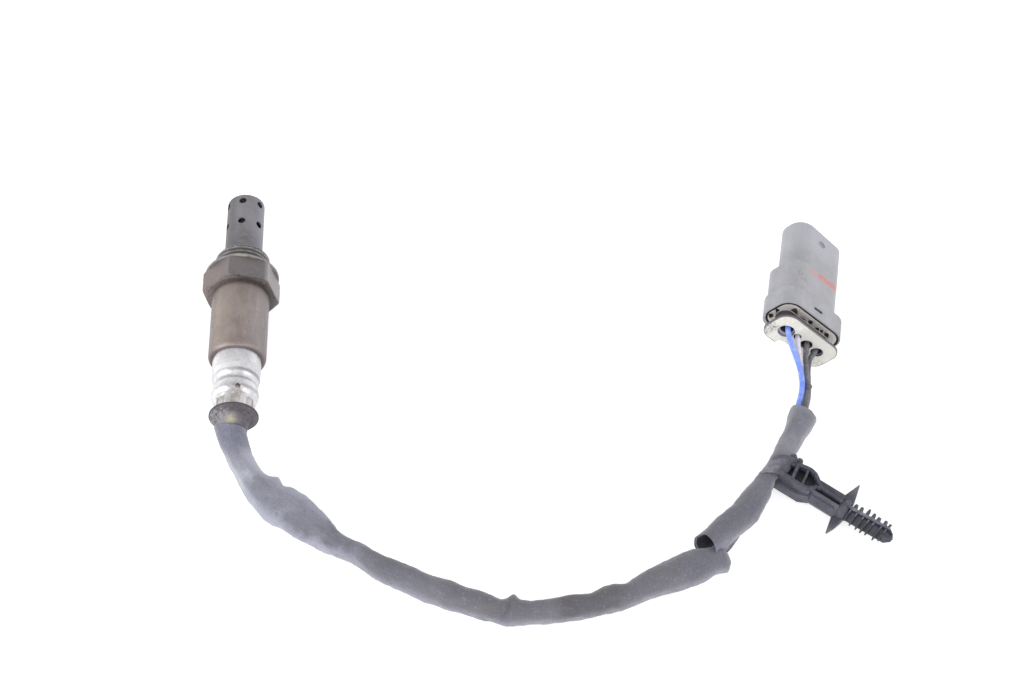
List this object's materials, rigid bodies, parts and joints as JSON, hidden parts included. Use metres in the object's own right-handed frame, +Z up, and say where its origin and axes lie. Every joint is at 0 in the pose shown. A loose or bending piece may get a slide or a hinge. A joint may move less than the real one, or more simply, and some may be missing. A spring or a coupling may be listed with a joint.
{
  "type": "oxygen sensor",
  "caption": "Heated exhaust oxygen sensor with perforated gas tube, threaded hexagon body, sleeved lead, harness clip and rectangular plug.",
  "frame": {"origin": "on the sensor's axis, in the sealing face of the gasket in front of the hexagon", "axes": "+Y along the sensor's axis, out of the gas end; +Z up as it lies; the lead runs off to +X"},
  "size_m": [0.2159, 0.1619, 0.0251],
  "materials": {
    "tube_steel": "heat-greyed stainless sheet",
    "inner_tube_steel": "heat-greyed stainless sheet",
    "housing_steel": "nickel-coated steel, dulled by heat",
    "gasket_steel": "annealed sheet",
    "barrel_steel": "stainless sheet, dulled",
    "cover_steel": "bright stainless sheet with brown stains at the crimps",
    "ceramic": "unglazed ceramic",
    "talc": "pressed powder",
    "contact_steel": "plain",
    "filter_ptfe": "porous",
    "boot_rubber": "matt",
    "sleeve_weave": "woven, dusty",
    "lead_blue": "smooth insulation",
    "lead_white": "smooth insulation",
    "lead_black": "smooth insulation",
    "clip_nylon": "dusty black moulding",
    "shell_plastic": "light grey moulding",
    "retainer_plastic": "cream moulding",
    "seal_rubber": "silicone",
    "contact_brass": "tinned"
  },
  "bodies": {
    "root": {"outer_protection_tube": "tube_steel", "inner_protection_tube": "inner_tube_steel", "sensing_element": "ceramic", "heater_rod": "ceramic", "seat_gasket": "gasket_steel", "hex_housing": "housing_steel", "talc_packing": "talc", "lower_bush": "ceramic", "crimp_ring": "contact_steel", "outer_contact_ring": "contact_steel", "inner_contact_tube": "contact_steel", "barrel_cover": "barrel_steel", "rear_cover": "cover_steel", "spring_washer": "contact_steel", "terminal_insulator": "ceramic", "vent_filter": "filter_ptfe", "cable_boot": "boot_rubber", "terminal_blue": "contact_steel", "terminal_white": "contact_steel", "terminal_black_a": "contact_steel", "terminal_black_b": "contact_steel", "heat_sleeve": "sleeve_weave", "lead_blue": "lead_blue", "lead_white": "lead_white", "lead_black_a": "lead_black", "lead_black_b": "lead_black", "fir_tree_clip": "clip_nylon", "connector_shell": "shell_plastic", "rear_retainer": "retainer_plastic", "wire_seal": "seal_rubber", "contact_1": "contact_brass", "contact_2": "contact_brass", "contact_3": "contact_brass", "contact_4": "contact_brass"}
  },
  "joints": []
}
